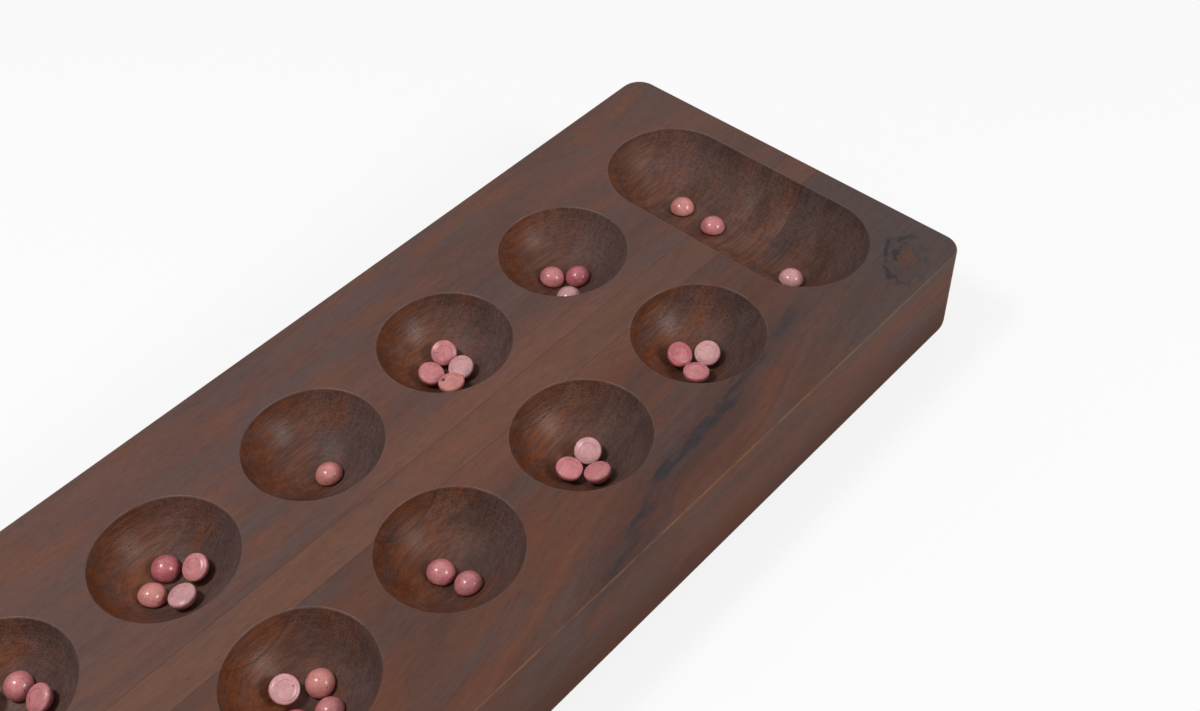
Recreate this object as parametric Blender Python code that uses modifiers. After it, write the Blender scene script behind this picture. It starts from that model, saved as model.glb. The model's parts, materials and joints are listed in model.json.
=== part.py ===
"""Mancala board: a thick hardwood slab glued up from three planks, with two rows of six round pits, a long
store across each end, and forty-eight polished stone counters lying loose in the hollows.

Units are metres, with +Z up. The slab stands on the XY plane, centred on the Z axis. Its length runs along X,
and the near row of pits is on the -Y side.
"""

import math

import bmesh
import bpy
from mathutils import Matrix, Quaternion, Vector

# Hollows
PITS_PER_ROW = 6
PIT_RADIUS = 0.0265
PIT_DEPTH = 0.0195
STORE_WIDTH = 0.0552
STORE_DEPTH = 0.0210
RIM_ROUNDING = 0.0008

# Wood left around the hollows
PIT_WALL = 0.0140
ROW_WALL = 0.0184
STORE_WALL = 0.0136
END_MARGIN = 0.0122
NEAR_MARGIN = 0.0250
FAR_MARGIN = 0.0266
STORE_SIDE_MARGIN = 0.0260
FLOOR_UNDER_STORE = 0.0270

# Planks and edges of the slab
NEAR_PLANK_WIDTH = 0.0730
MIDDLE_PLANK_WIDTH = 0.0160
GLUE_GAP = 0.0003
CORNER_RADIUS = 0.0090
FOOT_ROUNDING = 0.0085
TOP_ARRIS = 0.0008

# Stone counters
STONE_DIAMETER = 0.0103
STONE_THICKNESS = 0.0054
STONE_BEVEL = 0.0008
STONE_EDGE = 0.0004
SEAT_GAP = 0.0003

# Cuts run this far past the wood that they cut, and points this close are one point
OVERRUN = 0.0040
SAME_POINT = 0.000001

# Faces along each rounded shape
BOWL_SIDES = 24
BOWL_STEPS = 7
RIM_STEPS = 2
CORNER_STEPS = 6
FOOT_STEPS = 4
STONE_SIDES = 12
DOME_STEPS = 4

# Sizes that follow from the ones above
PIT_PITCH = 2 * PIT_RADIUS + PIT_WALL
BOARD_LENGTH = 2 * (END_MARGIN + STORE_WIDTH + STORE_WALL) + PITS_PER_ROW * PIT_PITCH - PIT_WALL
BOARD_WIDTH = NEAR_MARGIN + 4 * PIT_RADIUS + ROW_WALL + FAR_MARGIN
BOARD_THICKNESS = STORE_DEPTH + FLOOR_UNDER_STORE
NEAR_EDGE_Y = -BOARD_WIDTH / 2
NEAR_ROW_Y = NEAR_EDGE_Y + NEAR_MARGIN + PIT_RADIUS
FAR_ROW_Y = NEAR_ROW_Y + 2 * PIT_RADIUS + ROW_WALL
STORE_Y = (NEAR_ROW_Y + FAR_ROW_Y) / 2
STORE_X = BOARD_LENGTH / 2 - END_MARGIN - STORE_WIDTH / 2
STORE_LENGTH = BOARD_WIDTH - 2 * STORE_SIDE_MARGIN
STORE_STRAIGHT = STORE_LENGTH - STORE_WIDTH
NEAR_JOINT_Y = NEAR_EDGE_Y + NEAR_PLANK_WIDTH
FAR_JOINT_Y = NEAR_JOINT_Y + MIDDLE_PLANK_WIDTH

# How a stone lies: on its flat face with its dome up, or else flat face up, rocked over on its dome by some
# degrees from its seat towards this heading
DOME = "dome"
ROCK_HEADING = -136

# Name, base colour, roughness and metallic value of each finish
FINISHES = {
    "plank_far": ((0.088, 0.041, 0.031), 0.42, 0.0),
    "plank_middle": ((0.116, 0.045, 0.026), 0.42, 0.0),
    "plank_near": ((0.088, 0.035, 0.023), 0.42, 0.0),
    "stone_salmon": ((0.570, 0.215, 0.175), 0.16, 0.0),
    "stone_rose": ((0.570, 0.195, 0.205), 0.16, 0.0),
    "stone_deep_pink": ((0.470, 0.125, 0.145), 0.16, 0.0),
    "stone_pale_pink": ((0.600, 0.305, 0.310), 0.16, 0.0),
}

# The stones of each pit, from the +X end. A stone has its plan distance from the pit's axis as a share of its
# own diameter, its heading from +X in degrees, DOME or how far it is rocked over, and its finish.
NEAR_ROW_SHARES = (
    (
        (0.66, 129, 28, "stone_deep_pink"),
        (0.39, -26, 24, "stone_pale_pink"),
        (0.91, -144, 18, "stone_rose"),
    ),
    (
        (0.33, 10, 26, "stone_pale_pink"),
        (0.71, 182, 17, "stone_rose"),
        (0.92, -104, 10, "stone_rose"),
    ),
    (
        (0.50, 112, DOME, "stone_rose"),
        (0.60, -82, DOME, "stone_rose"),
    ),
    (
        (0.78, 20, DOME, "stone_salmon"),
        (0.78, 110, 14, "stone_pale_pink"),
        (0.78, 200, DOME, "stone_deep_pink"),
        (0.78, -70, DOME, "stone_rose"),
    ),
    (
        (0.58, 60, 9, "stone_rose"),
        (0.58, -135, DOME, "stone_deep_pink"),
    ),
    (
        (0.94, 10, 12, "stone_pale_pink"),
        (0.94, 82, DOME, "stone_rose"),
        (0.94, 154, DOME, "stone_salmon"),
        (0.94, 226, 7, "stone_rose"),
        (0.94, 298, DOME, "stone_deep_pink"),
    ),
)
FAR_ROW_SHARES = (
    (
        (0.53, 113, DOME, "stone_rose"),
        (0.56, -30, DOME, "stone_deep_pink"),
        (1.26, -129, DOME, "stone_pale_pink"),
    ),
    (
        (0.60, 61, 24, "stone_rose"),
        (0.50, -65, 22, "stone_pale_pink"),
        (0.75, 171, 20, "stone_rose"),
        (1.12, -127, 26, "stone_salmon"),
    ),
    ((0.34, -62, DOME, "stone_salmon"),),
    (
        (0.80, -15, 11, "stone_rose"),
        (0.80, 75, DOME, "stone_deep_pink"),
        (0.80, 165, DOME, "stone_salmon"),
        (0.80, 255, 16, "stone_pale_pink"),
    ),
    (
        (0.96, 40, DOME, "stone_rose"),
        (0.96, 112, 8, "stone_salmon"),
        (0.96, 184, DOME, "stone_pale_pink"),
        (0.96, 256, DOME, "stone_deep_pink"),
        (0.96, 328, 13, "stone_rose"),
    ),
    (
        (0.66, 95, DOME, "stone_pale_pink"),
        (0.66, 215, 15, "stone_salmon"),
        (0.66, 335, DOME, "stone_deep_pink"),
    ),
)

# The stones of each store. The first value is the place along the store, as a share of half its straight
# part, and the others are as in the pits.
RIGHT_STORE_SHARES = (
    (0.84, 0.05, 0, DOME, "stone_salmon"),
    (0.32, 0.05, 180, DOME, "stone_rose"),
    (-1.0, 0.50, 180, DOME, "stone_pale_pink"),
)
LEFT_STORE_SHARES = (
    (0.90, 0.20, 0, DOME, "stone_rose"),
    (0.48, 0.10, 180, 10, "stone_pale_pink"),
    (0.14, 0.62, 0, DOME, "stone_deep_pink"),
    (-0.10, 0.60, 180, DOME, "stone_salmon"),
    (-0.42, 0.15, 0, 6, "stone_rose"),
    (-0.88, 0.25, 180, DOME, "stone_salmon"),
)


def clear_scene():
    for obj in list(bpy.data.objects):
        bpy.data.objects.remove(obj, do_unlink=True)


def new_collection(name):
    collection = bpy.data.collections.new(name)
    bpy.context.scene.collection.children.link(collection)
    return collection


def make_finishes():
    """One Principled material for each finish, by name."""
    made = {}
    for name, (colour, roughness, metallic) in FINISHES.items():
        material = bpy.data.materials.new(name)
        material.use_nodes = True
        shader = material.node_tree.nodes["Principled BSDF"]
        shader.inputs["Base Color"].default_value = (*colour, 1)
        shader.inputs["Roughness"].default_value = roughness
        shader.inputs["Metallic"].default_value = metallic
        material.diffuse_color = (*colour, 1)
        made[name] = material
    return made


def add_object(name, mesh, collection):
    obj = bpy.data.objects.new(name, mesh)
    collection.objects.link(obj)
    return obj


def mesh_from(bm, name):
    mesh = bpy.data.meshes.new(name)
    bm.to_mesh(mesh)
    bm.free()
    return mesh


def hide_helper(obj):
    obj.hide_render = True
    obj.display_type = "WIRE"


def ball_radius(radius, depth):
    """Radius of the ball that leaves a round hollow of this mouth radius and depth."""
    return (radius**2 + depth**2) / (2 * depth)


def arc(centre, radius, start, end, steps):
    """Points (across, up) along an arc, with angles in radians from straight across."""
    angles = [start + (end - start) * step / steps for step in range(steps + 1)]
    return [(centre[0] + radius * math.cos(a), centre[1] + radius * math.sin(a)) for a in angles]


def hollow_profile(radius, depth):
    """Half section of a hollow, from the top of the cutter down its outer side. The wood's face is at 0."""
    ball = ball_radius(radius, depth)
    ball_up = ball - depth
    rim_across = math.sqrt((ball + RIM_ROUNDING) ** 2 - (ball_up + RIM_ROUNDING) ** 2)
    rim_angle = math.atan2(ball_up + RIM_ROUNDING, rim_across)
    rim = arc((rim_across, -RIM_ROUNDING), RIM_ROUNDING, math.pi / 2, math.pi - rim_angle, RIM_STEPS)
    bowl = arc((0, ball_up), ball, -rim_angle, -math.pi / 2, BOWL_STEPS)
    bowl[-1] = (0, -depth)
    return [(0, OVERRUN), (rim_across, OVERRUN)] + rim + bowl[1:]


def seat_radius(radius, depth):
    """Radius of the ball that just fits inside the flat steps of a round hollow."""
    ball = ball_radius(radius, depth)
    span = math.asin(min(1, radius / ball))
    return ball * math.cos(span / BOWL_STEPS / 2)


def profile_mesh(name, points):
    bm = bmesh.new()
    verts = [bm.verts.new((across, 0, up)) for across, up in points]
    for first, second in zip(verts, verts[1:]):
        bm.edges.new((first, second))
    return mesh_from(bm, name)


def add_screw(obj, angle, steps):
    screw = obj.modifiers.new("turn", "SCREW")
    screw.axis = "Z"
    screw.angle = angle
    screw.steps = steps
    screw.render_steps = steps
    screw.use_merge_vertices = True
    screw.merge_threshold = SAME_POINT


def add_pit_cutter(name, mesh, place, collection):
    """A turned plug that leaves one round pit."""
    cutter = add_object(name, mesh, collection)
    cutter.location = place
    add_screw(cutter, math.tau, BOWL_SIDES)
    hide_helper(cutter)
    return cutter


def store_half_mesh(name):
    """One end of a store's plug, open at its middle plane: a half turn of the profile, drawn out straight."""
    bm = bmesh.new()
    points = hollow_profile(STORE_WIDTH / 2, STORE_DEPTH)
    verts = [bm.verts.new((across, STORE_STRAIGHT / 2, up)) for across, up in points]
    edges = [bm.edges.new(pair) for pair in zip(verts, verts[1:])]
    bmesh.ops.spin(
        bm,
        geom=verts + edges,
        cent=(0, STORE_STRAIGHT / 2, 0),
        axis=(0, 0, 1),
        angle=math.pi,
        steps=BOWL_SIDES // 2,
        use_merge=False,
        use_duplicate=False,
    )
    bmesh.ops.remove_doubles(bm, verts=bm.verts, dist=SAME_POINT)
    ends = [edge for edge in bm.edges if edge.is_boundary]
    drawn = bmesh.ops.extrude_edge_only(bm, edges=ends)
    moved = [item for item in drawn["geom"] if isinstance(item, bmesh.types.BMVert)]
    bmesh.ops.translate(bm, verts=moved, vec=(0, -STORE_STRAIGHT / 2, 0))
    bmesh.ops.recalc_face_normals(bm, faces=bm.faces)
    lid = max(bm.faces, key=lambda face: face.calc_center_median().z)
    if lid.normal.z < 0:
        bmesh.ops.reverse_faces(bm, faces=bm.faces)
    return mesh_from(bm, name)


def add_store_cutter(name, mesh, place, collection):
    """A plug for one store, whose second end mirrors the first."""
    cutter = add_object(name, mesh, collection)
    cutter.location = place
    mirror = cutter.modifiers.new("other_end", "MIRROR")
    mirror.use_axis = (False, True, False)
    mirror.merge_threshold = SAME_POINT
    hide_helper(cutter)
    return cutter


def pit_places():
    """Name and mouth centre of each pit, with the stones that lie in it."""
    places = []
    for row, row_y, stones in (("near", NEAR_ROW_Y, NEAR_ROW_SHARES), ("far", FAR_ROW_Y, FAR_ROW_SHARES)):
        for number in range(PITS_PER_ROW):
            pit_x = PIT_PITCH * ((PITS_PER_ROW - 1) / 2 - number)
            place = Vector((pit_x, row_y, BOARD_THICKNESS))
            held = stones[number] if number < len(stones) else ()
            places.append((f"{row}_pit_{number + 1}", place, held))
    return places


def store_places():
    """Name and mouth centre of each store, with the stones that lie in it."""
    return [
        ("right_store", Vector((STORE_X, STORE_Y, BOARD_THICKNESS)), RIGHT_STORE_SHARES),
        ("left_store", Vector((-STORE_X, STORE_Y, BOARD_THICKNESS)), LEFT_STORE_SHARES),
    ]


def add_hollow_cutters(collection):
    pit_mesh = profile_mesh("pit_plug", hollow_profile(PIT_RADIUS, PIT_DEPTH))
    store_mesh = store_half_mesh("store_plug")
    for name, place, _ in pit_places():
        add_pit_cutter(f"{name}_cutter", pit_mesh, place, collection)
    for name, place, _ in store_places():
        add_store_cutter(f"{name}_cutter", store_mesh, place, collection)


def round_edges(bm, edges, radius, steps):
    bmesh.ops.bevel(bm, geom=edges, offset=radius, segments=steps, profile=0.5, affect="EDGES")


def slab_mesh():
    """The whole slab before it is parted into planks: a box with rounded corners, foot and top edge."""
    bm = bmesh.new()
    size = Matrix.Diagonal((BOARD_LENGTH, BOARD_WIDTH, BOARD_THICKNESS, 1))
    half_up = BOARD_THICKNESS / 2
    bmesh.ops.create_cube(bm, size=1, matrix=Matrix.Translation((0, 0, half_up)) @ size)
    upright = [e for e in bm.edges if abs(e.verts[0].co.z - e.verts[1].co.z) > half_up]
    round_edges(bm, upright, CORNER_RADIUS, CORNER_STEPS)
    foot = [e for e in bm.edges if all(v.co.z < SAME_POINT for v in e.verts)]
    round_edges(bm, foot, FOOT_ROUNDING, FOOT_STEPS)
    top = [e for e in bm.edges if all(v.co.z > BOARD_THICKNESS - SAME_POINT for v in e.verts)]
    round_edges(bm, top, TOP_ARRIS, 1)
    return mesh_from(bm, "slab")


def add_boolean(obj, operation, other=None, collection=None):
    boolean = obj.modifiers.new(operation.lower(), "BOOLEAN")
    boolean.operation = operation
    boolean.solver = "EXACT"
    if collection is None:
        boolean.object = other
    else:
        boolean.operand_type = "COLLECTION"
        boolean.collection = collection
    return boolean


def add_plank(name, low_y, high_y, slab, hollows, collection, material):
    """The slab's share between two glue joints, with the hollows cut in it."""
    bm = bmesh.new()
    size = Matrix.Diagonal((BOARD_LENGTH + 2 * OVERRUN, high_y - low_y, BOARD_THICKNESS + 2 * OVERRUN, 1))
    middle = Matrix.Translation((0, (low_y + high_y) / 2, BOARD_THICKNESS / 2))
    bmesh.ops.create_cube(bm, size=1, matrix=middle @ size)
    plank = add_object(name, mesh_from(bm, name), collection)
    add_boolean(plank, "INTERSECT", other=slab)
    add_boolean(plank, "DIFFERENCE", collection=hollows)
    plank.data.materials.append(material)
    return plank


def add_planks(collection, helpers, hollows, finishes):
    slab = add_object("slab_blank", slab_mesh(), helpers)
    hide_helper(slab)
    half_gap = GLUE_GAP / 2
    outside_y = BOARD_WIDTH / 2 + OVERRUN
    spans = (
        ("far_plank", FAR_JOINT_Y + half_gap, outside_y, "plank_far"),
        ("middle_plank", NEAR_JOINT_Y + half_gap, FAR_JOINT_Y - half_gap, "plank_middle"),
        ("near_plank", -outside_y, NEAR_JOINT_Y - half_gap, "plank_near"),
    )
    for name, low_y, high_y, finish in spans:
        add_plank(name, low_y, high_y, slab, hollows, collection, finishes[finish])


def stone_profile():
    """Half section of a stone, from the top of its dome down its outer side to its flat face at 0."""
    radius = STONE_DIAMETER / 2
    shoulder = STONE_BEVEL + STONE_EDGE
    rise = STONE_THICKNESS - shoulder
    dome = ball_radius(radius, rise)
    edge_angle = math.atan2(dome - rise, radius)
    points = arc((0, STONE_THICKNESS - dome), dome, math.pi / 2, edge_angle, DOME_STEPS)
    points[0] = (0, STONE_THICKNESS)
    return points + [(radius, STONE_BEVEL), (radius - STONE_BEVEL, 0), (0, 0)]


def stone_place(ball_centre, ball, reach, heading, pose):
    """Location and turn of a stone that lies inside a ball, on its flat face or rocked over on its dome."""
    radius = STONE_DIAMETER / 2
    shoulder = STONE_BEVEL + STONE_EDGE
    dome = ball_radius(radius, STONE_THICKNESS - shoulder)
    if pose == DOME:
        face_out = math.sqrt(ball**2 - (radius - STONE_BEVEL) ** 2) - SEAT_GAP
        middle_out = face_out - STONE_BEVEL - STONE_EDGE / 2
    else:
        middle_out = ball - SEAT_GAP - dome
    lean = math.asin(reach / middle_out)
    outward = Vector(
        (
            math.sin(lean) * math.cos(heading),
            math.sin(lean) * math.sin(heading),
            -math.cos(lean),
        )
    )
    if pose == DOME:
        toward_dome = -outward
        place = ball_centre + face_out * outward
    else:
        across = math.radians(ROCK_HEADING + 90)
        rock = Quaternion((math.cos(across), math.sin(across), 0), math.radians(pose))
        toward_dome = rock @ outward
        place = ball_centre + middle_out * outward - (STONE_THICKNESS - dome) * toward_dome
    return place, toward_dome.to_track_quat("Z", "Y").to_euler()


def add_stone(name, mesh, place, turn, collection, material):
    stone = add_object(name, mesh, collection)
    stone.location = place
    stone.rotation_euler = turn
    add_screw(stone, math.tau, STONE_SIDES)
    stone.material_slots[0].link = "OBJECT"
    stone.material_slots[0].material = material
    return stone


def add_stones(collection, finishes):
    """Every stone on the bed of its pit or store, each a loose piece of its own."""
    mesh = profile_mesh("stone", stone_profile())
    mesh.materials.append(None)
    pit_seat = seat_radius(PIT_RADIUS, PIT_DEPTH)
    pit_ball_up = Vector((0, 0, ball_radius(PIT_RADIUS, PIT_DEPTH) - PIT_DEPTH))
    for pit, mouth, stones in pit_places():
        for number, (reach_share, heading, pose, finish) in enumerate(stones, 1):
            reach = reach_share * STONE_DIAMETER
            place, turn = stone_place(mouth + pit_ball_up, pit_seat, reach, math.radians(heading), pose)
            add_stone(f"{pit}_stone_{number}", mesh, place, turn, collection, finishes[finish])
    store_seat = seat_radius(STORE_WIDTH / 2, STORE_DEPTH)
    store_ball_up = ball_radius(STORE_WIDTH / 2, STORE_DEPTH) - STORE_DEPTH
    for store, mouth, stones in store_places():
        for number, (along_share, reach_share, heading, pose, finish) in enumerate(stones, 1):
            along = along_share * STORE_STRAIGHT / 2
            centre = mouth + Vector((0, along, store_ball_up))
            reach = reach_share * STONE_DIAMETER
            place, turn = stone_place(centre, store_seat, reach, math.radians(heading), pose)
            add_stone(f"{store}_stone_{number}", mesh, place, turn, collection, finishes[finish])


def shade_round_pieces(collection):
    for mesh in {obj.data for obj in collection.objects}:
        mesh.shade_smooth()
        mesh.set_sharp_from_angle(angle=math.radians(30))


def main():
    clear_scene()
    board = new_collection("mancala_board")
    helpers = new_collection("helpers")
    hollows = new_collection("hollow_cutters")
    finishes = make_finishes()
    add_hollow_cutters(hollows)
    add_planks(board, helpers, hollows, finishes)
    add_stones(board, finishes)
    shade_round_pieces(board)


main()
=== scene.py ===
"""Mancala board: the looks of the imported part.

A thick slab of dark stained hardwood is glued up from three planks, with twelve round pits and two long
stores carved into its top. Forty-eight polished pink stones lie loose in the hollows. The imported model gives
every place and size. The planks and stones are shaped anew with finer edges, in procedural wood and stone.
"""

import json
import math
import random

import bmesh
import bpy
import numpy as np
from bpy.props import FloatProperty, FloatVectorProperty, PointerProperty
from mathutils import Matrix, Quaternion, Vector

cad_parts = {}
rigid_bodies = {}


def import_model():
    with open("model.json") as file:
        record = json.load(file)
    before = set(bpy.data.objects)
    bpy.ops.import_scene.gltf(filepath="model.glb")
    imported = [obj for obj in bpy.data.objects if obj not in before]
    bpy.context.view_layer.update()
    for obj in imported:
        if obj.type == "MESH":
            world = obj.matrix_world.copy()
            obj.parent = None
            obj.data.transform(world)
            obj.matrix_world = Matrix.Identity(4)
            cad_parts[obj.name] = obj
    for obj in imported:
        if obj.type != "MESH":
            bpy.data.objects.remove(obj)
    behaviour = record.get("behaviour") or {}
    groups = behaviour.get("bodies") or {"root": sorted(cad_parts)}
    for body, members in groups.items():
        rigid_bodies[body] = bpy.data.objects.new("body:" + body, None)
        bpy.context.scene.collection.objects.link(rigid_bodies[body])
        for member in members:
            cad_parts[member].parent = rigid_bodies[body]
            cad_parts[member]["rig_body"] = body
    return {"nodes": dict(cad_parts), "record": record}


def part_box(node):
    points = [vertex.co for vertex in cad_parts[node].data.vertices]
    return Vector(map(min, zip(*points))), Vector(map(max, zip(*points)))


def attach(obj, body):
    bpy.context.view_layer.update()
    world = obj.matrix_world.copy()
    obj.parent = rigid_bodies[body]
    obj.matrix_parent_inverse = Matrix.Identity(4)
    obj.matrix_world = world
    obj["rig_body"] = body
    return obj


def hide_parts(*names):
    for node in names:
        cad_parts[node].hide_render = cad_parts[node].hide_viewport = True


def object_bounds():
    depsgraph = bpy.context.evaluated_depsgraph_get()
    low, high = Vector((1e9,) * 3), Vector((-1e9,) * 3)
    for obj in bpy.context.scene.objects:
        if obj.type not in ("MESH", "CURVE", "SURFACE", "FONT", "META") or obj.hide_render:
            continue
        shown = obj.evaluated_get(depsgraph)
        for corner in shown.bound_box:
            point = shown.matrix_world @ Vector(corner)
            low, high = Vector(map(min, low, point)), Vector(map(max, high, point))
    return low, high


bl_info = {
    "name": "Mancala Board",
    "version": (1, 0, 0),
    "blender": (4, 5, 0),
    "location": "View3D > Sidebar > Mancala Board",
    "description": "Carved planks, polished stones and a plain studio for a mancala board",
    "category": "Add Mesh",
}

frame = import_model()
CAD_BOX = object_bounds()

MM = 0.001
SAME = 0.00001

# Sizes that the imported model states
LENGTH, WIDTH, THICKNESS = CAD_BOX[1] - CAD_BOX[0]
NEAR_JOINT = (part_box("near_plank")[1].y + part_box("middle_plank")[0].y) / 2
FAR_JOINT = (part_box("middle_plank")[1].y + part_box("far_plank")[0].y) / 2
SLOTS = {part["node"]: part["material_slot"] for part in frame["record"]["subparts"]}

# Fineness of the turned and rounded shapes
BALL_SEGMENTS = 96
BALL_RINGS = 47
CORNER_STEPS = 12
FOOT_STEPS = 8
EDGE_STEPS = 3
STONE_SIDES = 48
DOME_RINGS = 9
FACE_RINGS = 4

# The hollows that the record has to state
PIT_COUNT = 12
STORE_COUNT = 2

# The upright share of a face's direction from which it counts as level
LEVEL = 0.99
NEARLY_LEVEL = 0.9

# Edges sharper than these angles stay sharp
PLANK_CREASE = math.radians(35)
STONE_CREASE = math.radians(40)

# No rim comes this near the slab's outline, and within the depth of a side the surface counts as outside
RIM_FROM_OUTLINE = 5 * MM
SIDE_DEPTH = 2 * MM

# A hollow's wall begins this far below the top and may lie this far beyond its mouth
TOP_SKIN = 0.5 * MM
MOUTH_SLACK = 0.2 * MM

# The upper share of a rim's rounding that is glossier and carries a painted highlight
RIM_SHARE = 0.9

# What each corner of a plank's mesh says of its surface
SURFACE_MARKS = ("hollow", "end_grain", "steep", "run_out", "worn_edge", "rim")

# Walls of a hollow that face this way, toward the front right, get painted light in a warm orange. Walls that
# face the other way get painted shade and a painted grey sheen.
PAINTED_LIGHT_FACING = Vector((0.667, -0.744))

# Where the photograph was taken from
CAMERA_PLACE = Vector((-0.15386, -0.28945, 0.47319))
CAMERA_AIM = Vector((0.13360, -0.01592, 0.04800))
CAMERA_ROLL = math.radians(-2.339)
CAMERA_LENS = 45.84
SENSOR_WIDTH = 36
CLIP_START = 0.01

# Each lamp's direction from the board, its distance and its width
LAMPS = {
    "key_lamp": ((-0.44, 0.27, 0.856), 1.1, 0.2),
    "fill_lamp": ((0.28, -0.79, 0.545), 1.5, 0.45),
}

# The floor lies this far below the board
FLOOR_DROP = 0.2 * MM

WHITE = (1, 1, 1)

# Where each plank's pith lies (Y, Z) and how wide its rings are, in millimetres, and its seed
PLANK_GRAIN = {
    "far_plank": ((60, -70), 8.0, 3.0),
    "middle_plank": ((-30, -90), 7.0, 11.0),
    "near_plank": ((-20, -60), 8.5, 7.0),
}

# What the wood's colour is multiplied by on end grain, and as painted shade on the upright sides and toward
# the foot
END_GRAIN_SHADE = (0.80, 0.68, 0.60)
SIDE_PAINTED_SHADE = (0.96, 0.93, 0.87)
FOOT_PAINTED_SHADE = (0.60, 0.36, 0.22)

GLUE_COLOUR = (0.02, 0.012, 0.01)

# How strongly the lacquer and the polished stone mirror
WOOD_SPECULAR = 0.2
STONE_SPECULAR = 0.44

# Along the board, pits end and stores begin between these distances from its middle, in millimetres
PITS_TO_STORES = (196, 204)

# The near plank's knot: its place on the top in millimetres, the heading of its ovals and their shape, and
# how far out each dark ring lies and how soft it is
KNOT_PLACE = (252.6, -73.8)
KNOT_HEADING = math.radians(29)
KNOT_SHARES = (0.62, 1.0, 0.3)
KNOT_RINGS = ((4.6, 1.1), (8.4, 1.3))

# How far the dark streak shifts toward the board's middle for each millimetre of depth
STREAK_LEAN = 0.55

# The near plank's dark streak, which its grain follows: along the board and up from the near edge, in mm
GRAIN_RISE = (
    (-275, -32), (-150, -28), (-60, -22), (0, -14), (40, -5), (62, 2.6),
    (83, 8.8), (92, 10.7), (101, 16), (110, 18), (130, 18.8), (152, 21.2),
    (163, 24), (182, 28), (205, 31), (255, 36), (275, 38),
)

# Space between the nodes of a tree
COLUMN_STEP = 220
ROW_STEP = 190


# Picking and shaping


def clear_selection():
    """Leaves edit mode and selects nothing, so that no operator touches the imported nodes."""
    if bpy.context.object and bpy.context.object.mode != "OBJECT":
        bpy.ops.object.mode_set(mode="OBJECT")
    bpy.ops.object.select_all(action="DESELECT")


def choose(obj):
    clear_selection()
    obj.select_set(True)
    bpy.context.view_layer.objects.active = obj
    return obj


def bake_place(obj):
    """Moves an object's place, turn and scale into its mesh."""
    choose(obj)
    bpy.ops.object.transform_apply(location=True, rotation=True, scale=True)
    return obj


def pick(obj, kind, test):
    """Enters edit mode with just the edges or faces that pass the test selected, and says how many did."""
    choose(obj)
    bpy.ops.object.mode_set(mode="EDIT")
    bpy.ops.mesh.select_mode(type="EDGE" if kind == "edges" else "FACE")
    bpy.ops.mesh.select_all(action="DESELECT")
    shape = bmesh.from_edit_mesh(obj.data)
    found = [part for part in getattr(shape, kind) if test(part)]
    for part in found:
        part.select_set(True)
    shape.select_flush_mode()
    bmesh.update_edit_mesh(obj.data)
    return len(found)


def leave_edit_mode():
    bpy.ops.object.mode_set(mode="OBJECT")


def ball_radius(radius, depth):
    """Radius of the ball that leaves a round hollow of this mouth radius and depth."""
    return (radius**2 + depth**2) / (2 * depth)


def rim_width(radius, depth, rounding):
    """How far a rounding reaches from the sharp rim of a hollow."""
    ball = ball_radius(radius, depth)
    return rounding * math.tan(math.acos((ball - depth) / ball) / 2)


def hollow_places():
    """Plan centres of the pits and of the stores, from the openings that the record states."""
    pits, stores = {}, {}
    for opening in frame["record"]["physics"]["openings"]:
        low, high = (Vector(corner) for corner in opening["box_m"])
        if opening["name"].endswith("_store"):
            stores[opening["name"]] = (low + high).xy / 2
        elif not opening["name"].endswith("_far_side"):
            pits[opening["name"]] = (low + high).xy / 2
    if len(pits) != PIT_COUNT or len(stores) != STORE_COUNT:
        raise RuntimeError("The record doesn't state twelve pits and two stores")
    return pits, stores


# The slab and its planks


def add_ball(x, y, radius, depth):
    """A ball that leaves a round hollow of this mouth radius and depth."""
    ball = ball_radius(radius, depth)
    clear_selection()
    bpy.ops.mesh.primitive_uv_sphere_add(
        segments=BALL_SEGMENTS,
        ring_count=BALL_RINGS,
        radius=ball,
        location=(x, y, THICKNESS + ball - depth),
    )
    return bpy.context.object


def add_store_plug(place, sizes):
    """A ball drawn out along Y that leaves one long store."""
    straight = sizes.store_length - sizes.store_width
    middle = place.y - straight / 2
    plug = bake_place(add_ball(place.x, middle, sizes.store_width / 2, sizes.store_depth))
    pick(plug, "faces", lambda face: face.calc_center_median().y > middle)
    bpy.ops.mesh.extrude_region_move(TRANSFORM_OT_translate={"value": (0, straight, 0)})
    leave_edit_mode()
    return plug


def add_plugs(sizes):
    """All the plugs as one cutter."""
    pits, stores = hollow_places()
    plugs = [add_ball(place.x, place.y, sizes.pit_radius, sizes.pit_depth) for place in pits.values()]
    plugs += [add_store_plug(place, sizes) for place in stores.values()]
    clear_selection()
    for plug in plugs:
        plug.select_set(True)
    bpy.context.view_layer.objects.active = plugs[0]
    bpy.ops.object.join()
    return bake_place(bpy.context.object)


def add_blank(sizes):
    """The slab before it is carved: a block with rounded upright corners, foot and top edge."""
    clear_selection()
    bpy.ops.mesh.primitive_cube_add(size=1, location=(0, 0, THICKNESS / 2), scale=(LENGTH, WIDTH, THICKNESS))
    blank = bake_place(bpy.context.object)
    pick(blank, "edges", lambda edge: abs(edge.verts[0].co.z - edge.verts[1].co.z) > THICKNESS / 2)
    bpy.ops.mesh.bevel(offset=sizes.corner_radius, segments=CORNER_STEPS, affect="EDGES")
    pick(blank, "edges", lambda edge: all(corner.co.z < SAME for corner in edge.verts))
    bpy.ops.mesh.bevel(offset=sizes.foot_rounding, segments=FOOT_STEPS, affect="EDGES")
    pick(blank, "edges", lambda edge: all(corner.co.z > THICKNESS - SAME for corner in edge.verts))
    bpy.ops.mesh.bevel(offset=sizes.top_arris, segments=EDGE_STEPS, affect="EDGES")
    leave_edit_mode()
    return blank


def is_rim(edge):
    """A sharp edge between the flat top and a hollow, well inside the slab's outline."""
    for corner in (vertex.co for vertex in edge.verts):
        if corner.z < THICKNESS - SAME or abs(corner.y) > WIDTH / 2 - RIM_FROM_OUTLINE:
            return False
        if abs(corner.x) > LENGTH / 2 - RIM_FROM_OUTLINE:
            return False
    upward = [face.normal.z > LEVEL for face in edge.link_faces]
    return any(upward) and not all(upward)


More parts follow.
